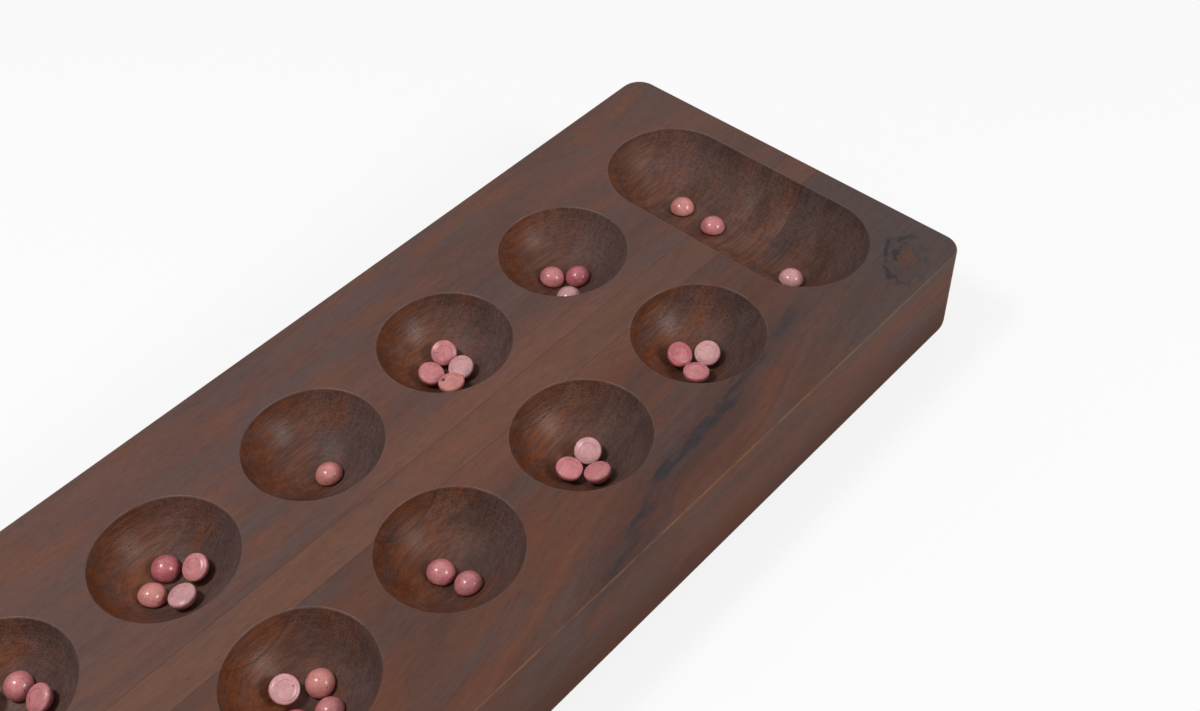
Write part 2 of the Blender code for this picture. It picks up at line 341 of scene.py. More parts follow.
def keep_mesh(obj, name):
    """Removes an object and keeps its mesh under a name, for copies."""
    made = obj.data
    made.name = name
    made.use_fake_user = True
    bpy.data.objects.remove(obj, do_unlink=True)
    return made


def add_copy(mesh, name):
    """A new object with its own copy of a mesh."""
    obj = bpy.data.objects.new(name, mesh.copy())
    bpy.context.scene.collection.objects.link(obj)
    return obj


def carved_slab(sizes):
    """The whole carved slab as a mesh, made once. The planks are cut from copies of it."""
    made = bpy.data.meshes.get("carved_slab")
    if made:
        return made
    slab = add_blank(sizes)
    plugs = add_plugs(sizes)
    carve = slab.modifiers.new("carve", "BOOLEAN")
    carve.operation = "DIFFERENCE"
    carve.solver = "EXACT"
    carve.object = plugs
    choose(slab)
    bpy.ops.object.modifier_apply(modifier=carve.name)
    bpy.data.objects.remove(plugs, do_unlink=True)
    if pick(slab, "edges", is_rim) < (PIT_COUNT + STORE_COUNT) * BALL_SEGMENTS / 2:
        raise RuntimeError("The hollows weren't carved, so they have no rims")
    width = rim_width(sizes.pit_radius, sizes.pit_depth, sizes.rim_rounding)
    bpy.ops.mesh.bevel(offset=width, segments=EDGE_STEPS, affect="EDGES", clamp_overlap=False)
    leave_edit_mode()
    return keep_mesh(slab, "carved_slab")


def corner_centre(point, sizes):
    """Plan centre of the nearest corner's rounding, or the point itself where the side is straight."""
    straight_x = LENGTH / 2 - sizes.corner_radius
    straight_y = WIDTH / 2 - sizes.corner_radius
    if abs(point.x) < straight_x or abs(point.y) < straight_y:
        return point.xy
    return Vector((math.copysign(straight_x, point.x), math.copysign(straight_y, point.y)))


def in_hollow(point, sizes, pits, stores):
    """True for a point on the wall or bed of a hollow."""
    if point.z > THICKNESS - TOP_SKIN:
        return False
    if any((point.xy - place).length < sizes.pit_radius + MOUTH_SLACK for place in pits):
        return True
    straight = (sizes.store_length - sizes.store_width) / 2
    for place in stores:
        off = point.xy - place
        off.y = max(0.0, abs(off.y) - straight)
        if off.length < sizes.store_width / 2 + MOUTH_SLACK:
            return True
    return False


def mark_surfaces(plank, sizes):
    """Writes where the wood is carved, where it is cut across its fibres, how steep it is, where an edge is
    worn, where a rim carries a painted highlight and how far a wall faces the painted light.
    """
    pits, stores = hollow_places()
    for name in SURFACE_MARKS:
        plank.data.attributes.new(name, "FLOAT", "POINT")
    marks = {name: plank.data.attributes[name].data for name in SURFACE_MARKS}
    edge_foot = THICKNESS - sizes.top_arris + SAME
    rim_foot = THICKNESS - rim_width(sizes.pit_radius, sizes.pit_depth, sizes.rim_rounding) * RIM_SHARE
    for corner in plank.data.vertices:
        point = corner.co
        if point.z > THICKNESS - SAME:
            continue
        off_centre = (point.xy - corner_centre(point, sizes)).length
        outside = abs(point.x) > LENGTH / 2 - SIDE_DEPTH or abs(point.y) > WIDTH / 2 - SIDE_DEPTH
        outside = outside or off_centre > sizes.corner_radius - SIDE_DEPTH
        values = {
            "hollow": in_hollow(point, sizes, pits.values(), stores.values()),
            "end_grain": corner.normal.x**2,
            "steep": 1 - corner.normal.z,
            # How far the wall faces the side that gets painted light
            "run_out": corner.normal.xy.dot(PAINTED_LIGHT_FACING),
            "worn_edge": outside and point.z > edge_foot,
            "rim": not outside and point.z > rim_foot,
        }
        for name, value in values.items():
            marks[name][corner.index].value = value


def edit_whole(obj):
    """Enters edit mode with all of an object selected."""
    choose(obj)
    bpy.ops.object.mode_set(mode="EDIT")
    bpy.ops.mesh.select_all(action="SELECT")


def cut_plank(name, low_y, high_y, sizes):
    """One plank: the slab's share between two glue joints, with its edges and marks."""
    clear_selection()
    plank = add_copy(carved_slab(sizes), f"{name}_carved")
    gap = sizes.glue_line / 2
    for joint, side in ((low_y, -1), (high_y, 1)):
        if joint is None:
            continue
        edit_whole(plank)
        bpy.ops.mesh.bisect(
            plane_co=(0, joint - side * gap, 0),
            plane_no=(0, side, 0),
            use_fill=True,
            clear_outer=True,
            threshold=SAME / 10,
        )
        leave_edit_mode()
    edit_whole(plank)
    bpy.ops.mesh.remove_doubles(threshold=SAME / 2)
    bpy.ops.mesh.normals_make_consistent(inside=False)
    leave_edit_mode()
    mark_surfaces(plank, sizes)
    bpy.ops.object.shade_smooth_by_angle(angle=PLANK_CREASE)
    weigh = plank.modifiers.new("flat_faces", "WEIGHTED_NORMAL")
    weigh.keep_sharp = True
    bpy.ops.object.modifier_apply(modifier=weigh.name)
    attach(plank, frame["nodes"][name]["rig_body"])
    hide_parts(name)
    return plank


# The stones


def turn_stone(sizes):
    """One stone on its flat face at the middle of the world, dome up, as a mesh that is made once."""
    made = bpy.data.meshes.get("turned_stone")
    if made:
        return made
    radius = sizes.stone_diameter / 2
    band = sizes.stone_bevel + sizes.stone_edge
    ball = ball_radius(radius, sizes.stone_thickness - band)
    flat_sides = math.cos(math.pi / STONE_SIDES)
    clear_selection()
    bpy.ops.mesh.primitive_cylinder_add(
        vertices=STONE_SIDES, radius=radius, depth=band, end_fill_type="NGON", location=(0, 0, band / 2)
    )
    stone = bake_place(bpy.context.object)
    pick(stone, "edges", lambda edge: all(corner.co.z < SAME for corner in edge.verts))
    bpy.ops.mesh.bevel(offset=sizes.stone_bevel, segments=EDGE_STEPS, affect="EDGES")
    leave_edit_mode()
    pick(stone, "faces", lambda face: face.normal.z < -NEARLY_LEVEL)
    narrowing = (radius - sizes.stone_bevel) / (FACE_RINGS + 1) * flat_sides
    for ring in range(FACE_RINGS):
        rise = sizes.stone_crown * (2 * (FACE_RINGS - ring) - 1) / FACE_RINGS**2
        bpy.ops.mesh.inset(thickness=narrowing, depth=rise)
    leave_edit_mode()
    pick(stone, "faces", lambda face: face.normal.z > NEARLY_LEVEL)
    lean = math.asin(radius / ball)
    angles = [lean * (1 - ring / DOME_RINGS) for ring in range(DOME_RINGS)]
    rings = [(ball * math.sin(angle), ball * math.cos(angle)) for angle in angles]
    for (wide, low), (narrow, high) in zip(rings, rings[1:]):
        bpy.ops.mesh.inset(thickness=(wide - narrow) * flat_sides, depth=high - low)
    bpy.ops.mesh.poke(offset=ball - rings[-1][1])
    leave_edit_mode()
    flat_side = stone.data.attributes.new("flat_side", "FLOAT", "POINT")
    for corner in stone.data.vertices:
        flat_side.data[corner.index].value = float(corner.co.z < sizes.stone_bevel + SAME)
    return keep_mesh(stone, "turned_stone")


def stone_pose(node):
    """Middle of the flat face of a packed stone, and the direction of its dome."""
    packed = frame["nodes"][node].data.vertices
    corners = {tuple(round(value, 6) for value in corner.co) for corner in packed}
    points = np.array(sorted(corners))
    middle = points.mean(axis=0)
    axis = np.linalg.eigh(np.cov((points - middle).T))[1][:, 0]
    heights = (points - middle) @ axis
    if heights.max() < -heights.min():
        axis, heights = -axis, -heights
    return Vector(middle + axis * heights.min()), Vector(axis)


def lay_stone(node, number, sizes):
    """A stone in the place of one packed stone, turned about its own axis by chance."""
    place, dome = stone_pose(node)
    stone = add_copy(turn_stone(sizes), f"{node}_polished")
    spin = Quaternion((0, 0, 1), random.Random(number).uniform(0, math.tau))
    turn = dome.to_track_quat("Z", "Y") @ spin
    stone.matrix_world = Matrix.Translation(place) @ turn.to_matrix().to_4x4()
    bake_place(stone)
    bpy.ops.object.shade_smooth_by_angle(angle=STONE_CREASE)
    stone.data.materials.append(stone_finish(SLOTS[node]))
    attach(stone, frame["nodes"][node]["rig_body"])
    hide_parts(node)
    return stone


# Node helpers


def fill(node, inputs):
    """Gives each input a plain value, or joins it to another node's output. A colour has three values."""
    for key, value in inputs.items():
        socket = node.inputs[key]
        if isinstance(value, bpy.types.NodeSocket):
            node.id_data.links.new(value, socket)
        else:
            socket.default_value = (*value, 1.0) if socket.type == "RGBA" else value
    return node


def put(tree, kind, inputs=None, **settings):
    """Adds a node to a tree, sets it up, and fills its inputs."""
    node = tree.nodes.new(kind)
    for name, value in settings.items():
        setattr(node, name, value)
    return fill(node, inputs or {})


def follow(kind, inputs, **settings):
    """Adds a node to the tree of the outputs that it is joined to."""
    tree = next(value.id_data for value in inputs.values() if isinstance(value, bpy.types.NodeSocket))
    return put(tree, kind, inputs, **settings)


def reckon(operation, *values, clamp=False):
    """One step of arithmetic."""
    return follow("ShaderNodeMath", dict(enumerate(values)), operation=operation, use_clamp=clamp).outputs[0]


def plus(first, second):
    return reckon("ADD", first, second)


def minus(first, second):
    return reckon("SUBTRACT", first, second)


def times(first, second):
    return reckon("MULTIPLY", first, second)


def times_add(first, second, third):
    return reckon("MULTIPLY_ADD", first, second, third)


def larger(first, second):
    return reckon("MAXIMUM", first, second)


def reckon_point(operation, *values):
    """One step of arithmetic on points, which gives a point, or a number where it measures a length."""
    outputs = follow("ShaderNodeVectorMath", dict(enumerate(values)), operation=operation).outputs
    return outputs[1] if operation in ("DISTANCE", "LENGTH") else outputs[0]


def axes(point):
    """The three parts of a point."""
    return follow("ShaderNodeSeparateXYZ", {0: point}).outputs


def stretch(point, lengths, seed=(0, 0, 0)):
    """The point measured in these lengths, so that a pattern of size 1 is drawn out to them."""
    shares = tuple(1 / length for length in lengths)
    return reckon_point("MULTIPLY_ADD", point, shares, seed)


def cloud(point, lengths, seed=(0, 0, 0), detail=2.0, roughness=0.5):
    """Soft noise in three dimensions, drawn out to these lengths."""
    inputs = {"Vector": stretch(point, lengths, seed), "Scale": 1.0}
    inputs.update({"Detail": detail, "Roughness": roughness})
    return follow("ShaderNodeTexNoise", inputs).outputs[0]


def wander(point, lengths, seed, detail, reach):
    """A push to any side, of up to half the reach, that changes softly over these lengths."""
    inputs = {"Vector": stretch(point, lengths, seed), "Scale": 1.0, "Detail": detail}
    noise = follow("ShaderNodeTexNoise", inputs).outputs[1]
    centred = reckon_point("SUBTRACT", noise, (0.5, 0.5, 0.5))
    return follow("ShaderNodeVectorMath", {0: centred, "Scale": reach}, operation="SCALE").outputs[0]


def bands(distance, detail=2.0, roughness=0.5):
    """Soft noise of size 1 along one distance."""
    inputs = {"W": distance, "Scale": 1.0, "Detail": detail, "Roughness": roughness}
    return follow("ShaderNodeTexNoise", inputs, noise_dimensions="1D").outputs[0]


def remap(value, low, high, to_low=0.0, to_high=1.0):
    """Carries a range smoothly onto another one."""
    inputs = {0: value, 1: low, 2: high, 3: to_low, 4: to_high}
    return follow("ShaderNodeMapRange", inputs, interpolation_type="SMOOTHSTEP").outputs[0]


def tint(amount, first, second, how="MIX"):
    """Mixes a second colour into a first one."""
    inputs = {0: amount, 6: first, 7: second}
    return follow("ShaderNodeMix", inputs, data_type="RGBA", blend_type=how).outputs[2]


def open_group(name, inputs):
    """An empty shader group with these named inputs, and what its input node gives."""
    group = bpy.data.node_groups.new(name, "ShaderNodeTree")
    for label, default in inputs.items():
        kind = "NodeSocketFloat" if isinstance(default, float) else "NodeSocketVector"
        socket = group.interface.new_socket(name=label, in_out="INPUT", socket_type=kind)
        socket.default_value = default
    return group, group.nodes.new("NodeGroupInput").outputs


def close_group(group, results):
    """Gives the group its named outputs and sets its nodes in order."""
    for label, value in results.items():
        kind = "NodeSocketVector" if value.type == "VECTOR" else "NodeSocketFloat"
        group.interface.new_socket(name=label, in_out="OUTPUT", socket_type=kind)
    fill(group.nodes.new("NodeGroupOutput"), results)
    lay_out(group)
    return group


def placed(maker, inputs):
    """The outputs of a shared group with these values. It is built the first time that it is wanted."""
    name = maker.__name__
    group = bpy.data.node_groups.get(name) or maker(name)
    return follow("ShaderNodeGroup", inputs, node_tree=group, label=name).outputs


def lay_out(tree):
    """Sets the nodes in columns, so that the tree reads from left to right."""
    columns = {node: 0 for node in tree.nodes}
    joins = [(link.from_node, link.to_node) for link in tree.links]
    for _ in range(len(columns)):
        for left, right in joins:
            columns[left] = max(columns[left], columns[right] + 1)
    rows = dict.fromkeys(columns.values(), 0)
    for node, column in columns.items():
        rows[column] += 1
        node.location = (-COLUMN_STEP * column, -ROW_STEP * rows[column])


# Shared surface effects


def wood_flow(name):
    """Lets straight grain wander and lean."""
    group, given = open_group(name, {"Point": (0, 0, 0), "Rise": 0.0, "Sway": 6.0, "Seed": 0.0})
    seed = follow("ShaderNodeCombineXYZ", {0: given["Seed"], 1: given["Seed"]}).outputs[0]
    push = axes(wander(given["Point"], (150, 55, 45), seed, 1.5, given["Sway"]))
    across = minus(push[1], given["Rise"])
    flat = follow("ShaderNodeCombineXYZ", {1: across, 2: push[2]}).outputs[0]
    return close_group(group, {"Point": reckon_point("ADD", given["Point"], flat)})


def wood_grain(name):
    """Growth rings about a pith, broad streaks, fine fibres and pores, all drawn out along X."""
    defaults = {"Point": (0, 0, 0), "Pith Y": 0.0, "Pith Z": -60.0, "Ring Width": 4.0, "Seed": 0.0}
    group, given = open_group(name, defaults)
    point = given["Point"]
    seed = follow("ShaderNodeCombineXYZ", {0: given["Seed"], 2: given["Seed"]}).outputs[0]
    parts = axes(point)
    off_y = minus(parts[1], given["Pith Y"])
    off_z = minus(parts[2], given["Pith Z"])
    section = follow("ShaderNodeCombineXYZ", {1: off_y, 2: off_z}).outputs[0]
    reach = reckon_point("LENGTH", section)
    wobble = cloud(point, (70, 12, 12), seed)
    reach = times_add(wobble, 5.0, reach)
    turns = plus(reckon("DIVIDE", reach, given["Ring Width"]), given["Seed"])
    rings = bands(turns, 1.0)
    lines = bands(times(turns, 5.3), 1.0)
    streaks = cloud(point, (120, 13, 13), seed, 3.0)
    dashes = cloud(point, (5.5, 0.42, 0.42), seed, 1.0)
    results = {
        "Rings": remap(rings, 0.3, 0.7),
        "Lines": remap(lines, 0.36, 0.72),
        "Streaks": remap(streaks, 0.3, 0.7),
        "Fibres": cloud(point, (26, 0.8, 0.8), seed, 3.0, 0.65),
        "Pores": remap(dashes, 0.66, 0.76),
    }
    return close_group(group, results)


def tool_marks(name):
    """Fine level rings that a turning cutter leaves in a hollow."""
    group, given = open_group(name, {"Point": (0, 0, 0), "Hollow": 0.0})
    drift = cloud(given["Point"], (9, 9, 9), detail=1.0)
    level = times_add(drift, 1.2, axes(given["Point"])[2])
    cut = bands(times(level, 1.2), 4.0, 0.8)
    return close_group(group, {"Height": times(cut, given["Hollow"])})


def edge_wear(name):
    """Where handling has worn the stain from an edge, and where a rim carries a painted highlight."""
    group, given = open_group(name, {"Point": (0, 0, 0), "Edge": 0.0, "Amount": 1.0})
    patchy = cloud(given["Point"], (16, 5, 5), detail=3.0, roughness=0.6)
    mask = times(remap(patchy, 0.36, 0.6, 0.12, 1.0), given["Edge"])
    return close_group(group, {"Mask": reckon("MULTIPLY", mask, given["Amount"], clamp=True)})


def stone_mottle(name):
    """Clouds, pale veins and rare dark flecks of a pink stone."""
    group, given = open_group(name, {"Point": (0, 0, 0), "Fleck": (0, 0, 0), "Fleck Size": 0.0})
    point = given["Point"]
    clouds = cloud(point, (3.4, 3.4, 3.4), detail=3.0, roughness=0.6)
    bent = cloud(point, (4.5, 4.5, 4.5), (7, 3, 5), 2.0, 0.6)
    ridge = reckon("ABSOLUTE", minus(bent, 0.5))
    grains = cloud(point, (0.6, 0.6, 0.6), (1, 8, 2), 2.0, 0.7)
    specks = cloud(point, (1.1, 1.1, 1.1), (4, 4, 9), 1.0)
    ragged = times_add(grains, 0.9, -0.45)
    away = plus(reckon_point("DISTANCE", point, given["Fleck"]), ragged)
    inside = reckon("LESS_THAN", away, given["Fleck Size"])
    results = {
        "Clouds": remap(clouds, 0.34, 0.66),
        "Veins": remap(ridge, 0.0, 0.035, 1.0, 0.0),
        "Grains": grains,
        "Flecks": larger(remap(specks, 0.73, 0.77), inside),
    }
    return close_group(group, results)


# Finishes


def start_finish(name, specular):
    """An empty material with its shader, and the surface's own point in millimetres."""
    made = bpy.data.materials.new(name)
    made.use_nodes = True
    tree = made.node_tree
    tree.nodes.clear()
    shader = put(tree, "ShaderNodeBsdfPrincipled", {"Specular IOR Level": specular})
    follow("ShaderNodeOutputMaterial", {0: shader.outputs[0]})
    own = put(tree, "ShaderNodeTexCoord").outputs["Object"]
    point = follow("ShaderNodeMapping", {"Vector": own, "Scale": (1 / MM,) * 3}).outputs[0]
    return made, tree, shader, point


def end_finish(tree, shader, base, roughness, height, strength, depth):
    """Joins colour, roughness and a bump of this depth in millimetres to the shader."""
    bump = {"Height": height, "Strength": strength, "Distance": depth * MM}
    normal = follow("ShaderNodeBump", bump).outputs[0]
    fill(shader, {"Base Color": base, "Roughness": roughness, "Normal": normal})
    lay_out(tree)


def surface_mark(tree, name):
    return put(tree, "ShaderNodeAttribute", attribute_name=name).outputs["Fac"]


def near(value, middle, half, soft):
    """1 within half of a middle value, falling to 0 over the soft width."""
    away = reckon("ABSOLUTE", minus(value, middle))
    return remap(away, half, half + soft, 1.0, 0.0)


def grain_rise(along):
    """How far the near plank's grain has climbed at this place along the board, as a curve through the listed
    points.
    """
    half, full, low, span = 275.0, 550.0, -40.0, 100.0
    share = reckon("DIVIDE", plus(along, half), full)
    node = follow("ShaderNodeFloatCurve", {"Value": share})
    curve = node.mapping.curves[0]
    spots = [((x + half) / full, (rise - low) / span) for x, rise in GRAIN_RISE]
    curve.points[0].location, curve.points[-1].location = spots[0], spots[-1]
    for spot in spots[1:-1]:
        curve.points.new(*spot)
    node.mapping.update()
    return times_add(node.outputs[0], span, low)


def dark_streak(point, rise):
    """The ragged blue black streak of the near plank, a thin sheet that leans into the wood."""
    parts = axes(point)
    depth = minus(THICKNESS / MM, parts[2])
    path = times_add(depth, STREAK_LEAN, rise)
    off = minus(plus(parts[1], WIDTH / 2 / MM), path)
    ragged = cloud(point, (9, 3.2, 3.2), detail=3.0, roughness=0.65)
    off = times_add(minus(ragged, 0.5), 9.0, off)
    blotches = remap(cloud(point, (17, 6, 6), (3, 1, 0)), 0.33, 0.6, 0.25, 1.0)
    core = times(near(off, 0.0, 1.0, 3.4), blotches)
    halo = times(near(off, 0.0, 1.0, 11.0), 0.28)
    span = times(remap(parts[0], 38, 75), remap(parts[0], 170, 225, 1.0, 0.0))
    return times(larger(core, halo), span)


def knot_arcs(point):
    """Dark broken ovals round a small knot, drawn out along its heading, and the knot's warm middle."""
    middle = (*KNOT_PLACE, THICKNESS / MM)
    turn = {"Vector": point, "Center": middle, "Angle": -KNOT_HEADING}
    turned = follow("ShaderNodeVectorRotate", turn, rotation_type="Z_AXIS").outputs[0]
    off = reckon_point("SUBTRACT", turned, middle)
    off = reckon_point("MULTIPLY", off, KNOT_SHARES)
    off = reckon_point("ADD", off, wander(point, (5, 5, 5), (0, 0, 0), 2.5, 6.5))
    reach = reckon_point("LENGTH", off)
    far_side = remap(axes(off)[1], -4.0, 3.0, 0.4, 1.0)
    inner, outer = (near(reach, radius, 0.4, soft) for radius, soft in KNOT_RINGS)
    broken = remap(cloud(point, (5, 5, 5), (2, 6, 1), 1.0), 0.41, 0.53)
    arcs = times(times(larger(inner, outer), broken), far_side)
    shade = times(remap(reach, 6.0, 12.0, 0.28, 0.0), far_side)
    heart = remap(reach, 1.5, 6.0, 1.0, 0.0)
    return larger(arcs, shade), heart


def store_share(point):
    """1 in the stores and 0 in the pits, which are cut and polished differently."""
    along = reckon("ABSOLUTE", axes(point)[0])
    return remap(along, *PITS_TO_STORES)


def hollow_colour(tree, wood, point, flow, marks, look, seed):
    """A hollow has painted light, warm orange, on the walls that face the front right, painted shade and a
    painted grey sheen on those that face away, and specks on end grain.
    """
    steep, across, run_out = (surface_mark(tree, name) for name in ("steep", "end_grain", "run_out"))
    # Painted light on the walls that face the front right, painted shade on those that face away
    lit_side = remap(run_out, 0.0, 0.6, 0.0, 0.75)
    shaded_side = remap(run_out, -0.75, -0.1, 0.65, 0.0)
    carved = tint(0.6, wood, look.carved)
    clouds = cloud(flow, (30, 8, 8), (8, seed, 1), 3.0, 0.55)
    # The warm colour is random warm patches, and the painted light of the lit side
    warm = larger(lit_side, remap(clouds, 0.5, 0.66, 0.0, 0.6))
    warm = times(warm, remap(clouds, 0.34, 0.52, 0.35, 1.0))
    warm = times(warm, times_add(store_share(point), -0.35, 1.0))
    carved = tint(warm, carved, look.bared)
    other = cloud(flow, (22, 7, 7), (1, seed, 6), 3.0, 0.58)
    stained = remap(other, 0.47, 0.66, 0.0, 0.75)
    stained = times(stained, remap(steep, 0.05, 0.4, 0.45, 1.0))
    carved = tint(stained, carved, look.stained)
    # Painted shade and a painted grey sheen on the walls that face away
    carved = tint(shaded_side, carved, look.cool)

    lines = cloud(flow, (34, 1.5, 1.5), (seed, 2, 2), 3.0, 0.6)
    rays = cloud(point, (4, 0.9, 9), (seed, 1, 7), 3.0, 0.6)
    lines, rays = (remap(noise, 0.38, 0.62, -0.5, 0.5) for noise in (lines, rays))
    specks = cloud(point, (0.75, 0.5, 0.5), (seed, 3, 3), 1.5, 0.7)
    specks = remap(specks, 0.36, 0.64, -0.5, 0.5)
    rough = remap(plus(steep, times(across, 0.5)), 0.1, 0.75, 0.16, 0.6)
    # The specks are fainter on the painted lit side
    rough = times(rough, times_add(lit_side, -0.9, 1.0))
    light = times_add(lines, times_add(across, -0.3, 0.38), 1.0)
    light = times_add(rays, times(across, 0.36), light)
    light = times_add(specks, rough, light)
    deep = cloud(flow, (24, 11, 13), (2, seed, 5))
    light = times(light, remap(deep, 0.36, 0.6, 0.84, 1.1))
    light = times(light, times_add(marks, -0.7, 1.35))
    return tint(1.0, carved, light, "MULTIPLY"), specks


def plain_wood(flow, grain, look, seed):
    """The broad colours of a plank, before its own marks."""
    broad = remap(cloud(flow, (110, 26, 26), (4, seed, 2)), 0.34, 0.66)
    mix = times_add(grain["Rings"], 0.24, times(grain["Streaks"], 0.4))
    wood = tint(times_add(broad, 0.36, mix), look.dark, look.light)
    for shade, lengths, place, detail, roughness, low, high, most in (
        (look.patch, (95, 26, 26), (seed, 5, 0), 2.0, 0.5, 0.42, 0.68, 0.7),
        (look.cool, (60, 17, 17), (3, 3, seed), 3.0, 0.6, 0.5, 0.66, 0.65),
        (look.warm, (48, 12, 12), (seed, 9, 4), 3.0, 0.55, 0.5, 0.7, 0.6),
    ):
        patches = remap(cloud(flow, lengths, place, detail, roughness), low, high, 0.0, most)
        wood = tint(patches, wood, shade)
    return wood


def dim_wood(wood, point, grain, seed):
    """Fine fibres, lines, pores and mottle that darken or lighten the wood."""
    dim = times_add(grain["Fibres"], 0.42, 0.8)
    dim = times(dim, remap(grain["Lines"], 0.0, 1.0, 1.03, 0.95))
    dim = times(dim, remap(grain["Pores"], 0.0, 1.0, 1.0, 0.78))
    mottle = cloud(point, (4.2, 1.7, 1.7), (2, seed, 8), 4.0, 0.7)
    dim = times(dim, remap(mottle, 0.3, 0.7, 0.93, 1.09))
    return tint(1.0, wood, dim, "MULTIPLY")


def outside_colour(tree, wood, parts):
    """The wood outside the hollows is darker on end grain, with painted shade on the upright sides and toward
    the foot.
    """
    across = times(surface_mark(tree, "end_grain"), 0.75)
    # Painted shade, darker toward the bottom
    foot = remap(parts[2], 4, 30, 0.85, 0.0)
    for amount, shade in (
        (across, END_GRAIN_SHADE),
        (surface_mark(tree, "steep"), SIDE_PAINTED_SHADE),
        (foot, FOOT_PAINTED_SHADE),
    ):
        wood = tint(amount, wood, shade, "MULTIPLY")
    return wood


def lacquer(tree, point, grain, hollow, seed):
    """How rough the satin lacquer is: glossier in the hollows and on their rims, dull on the sides."""
    cloudy = cloud(point, (24, 13, 13), (6, 2, seed))
    satin = times_add(hollow, times_add(cloudy, 0.36, -0.37), 0.46)
    turned_away = remap(surface_mark(tree, "run_out"), -0.45, 0.5, 0.22, 0.0)
    satin = times_add(hollow, turned_away, satin)
    satin = times_add(times(hollow, store_share(point)), 0.13, satin)
    unpolished = times(surface_mark(tree, "steep"), minus(1.0, hollow))
    satin = times_add(unpolished, 0.2, satin)
    satin = times_add(grain["Fibres"], 0.16, satin)
    satin = times_add(surface_mark(tree, "rim"), -0.15, satin)
    return reckon("MULTIPLY_ADD", grain["Pores"], 0.2, satin, clamp=True)


def wood_finish(name, extras, climbs=False):
    """Stained hardwood with a satin lacquer. The extras add a plank's own marks to its broad colours."""
    look = getattr(bpy.context.scene.mancala_looks, name)
    (pith_y, pith_z), ring_width, seed = PLANK_GRAIN[name]
    made, tree, shader, point = start_finish(f"{name}_wood", WOOD_SPECULAR)
    parts = axes(point)
    rise = grain_rise(parts[0]) if climbs else 0.0
    lean = times(rise, remap(parts[1], -75, -18, 1.0, 0.25)) if climbs else 0.0
    flow = placed(wood_flow, {"Point": point, "Rise": lean, "Sway": 14.0, "Seed": seed})["Point"]
    rings = {"Pith Y": pith_y, "Pith Z": pith_z, "Ring Width": ring_width}
    grain = placed(wood_grain, {"Point": flow, "Seed": seed, **rings})
    hollow = surface_mark(tree, "hollow")
    marks = placed(tool_marks, {"Point": point, "Hollow": hollow})["Height"]

    wood = extras(plain_wood(flow, grain, look, seed), point, rise, look)
    wood = dim_wood(wood, point, grain, seed)
    carved, specks = hollow_colour(tree, wood, point, flow, marks, look, seed)
    wood = tint(hollow, outside_colour(tree, wood, parts), carved)
    for joint in (NEAR_JOINT, FAR_JOINT):
        line = near(parts[1], joint / MM, 0.05, 0.35)
        wood = tint(times(line, 0.25), wood, GLUE_COLOUR)
    # The rims get a pale painted highlight, the top edge its worn wood
    for mark, amount, bare_and_highlight in (("rim", 0.28, look.rubbed), ("worn_edge", 0.45, look.worn)):
        wear_and_highlight = {"Point": point, "Edge": surface_mark(tree, mark), "Amount": amount}
        wood = tint(placed(edge_wear, wear_and_highlight)["Mask"], wood, bare_and_highlight)

    height = times_add(grain["Pores"], -0.5, times(grain["Fibres"], 0.5))
    height = times_add(marks, 0.8, height)
    height = times_add(times(specks, hollow), 0.25, height)
    end_finish(tree, shader, wood, lacquer(tree, point, grain, hollow, seed), height, 0.6, 0.15)
    return made


def warm_by_joint(wood, point, joint, look):
    """Lighter, warmer wood that runs ragged along a glue line, right of the board's middle."""
    parts = axes(point)
    off = reckon("ABSOLUTE", minus(parts[1], joint / MM))
    ragged = cloud(point, (60, 14, 14), (1, 4, 4), 3.0, 0.6)
    off = times_add(minus(ragged, 0.5), 30.0, off)
    span = times(remap(parts[0], 5, 60), remap(parts[0], 130, 205, 1.0, 0.0))
    amount = times(remap(off, 1, 20, 0.8, 0.0), span)
    return tint(amount, wood, look.by_joint)


def far_plank_marks(wood, point, rise, look):
    """The far plank is warmer along its glue line."""
    return warm_by_joint(wood, point, FAR_JOINT, look)


def middle_plank_marks(wood, point, rise, look):
    """The middle plank is lightest right of the middle, and like its neighbours at the right end."""
    along = axes(point)[0]
    wood = tint(remap(along, -40, 70, 0.5, 0.0), wood, look.patch)
    return tint(remap(along, 95, 190, 0.0, 0.95), wood, look.cold)


def near_plank_marks(wood, point, rise, look):
    """The near plank's warm strip, its darker right end, its blue black streak and its knot."""
    wood = warm_by_joint(wood, point, NEAR_JOINT, look)
    parts = axes(point)
    ragged = cloud(point, (40, 14, 14), (5, 5, 1), 3.0, 0.6)
    ending = times_add(minus(ragged, 0.5), 110.0, parts[0])
    ending = times_add(parts[1], -0.9, ending)
    ending = times(remap(ending, 215, 325, 0.0, 0.9), remap(parts[2], 40, 47.5))
    wood = tint(ending, wood, look.cold)
    wood = tint(times(dark_streak(point, rise), 0.92), wood, look.streak)
    arcs, heart = knot_arcs(point)
    wood = tint(times(heart, 0.55), wood, look.warm)
    return tint(times(arcs, 0.95), wood, look.streak)


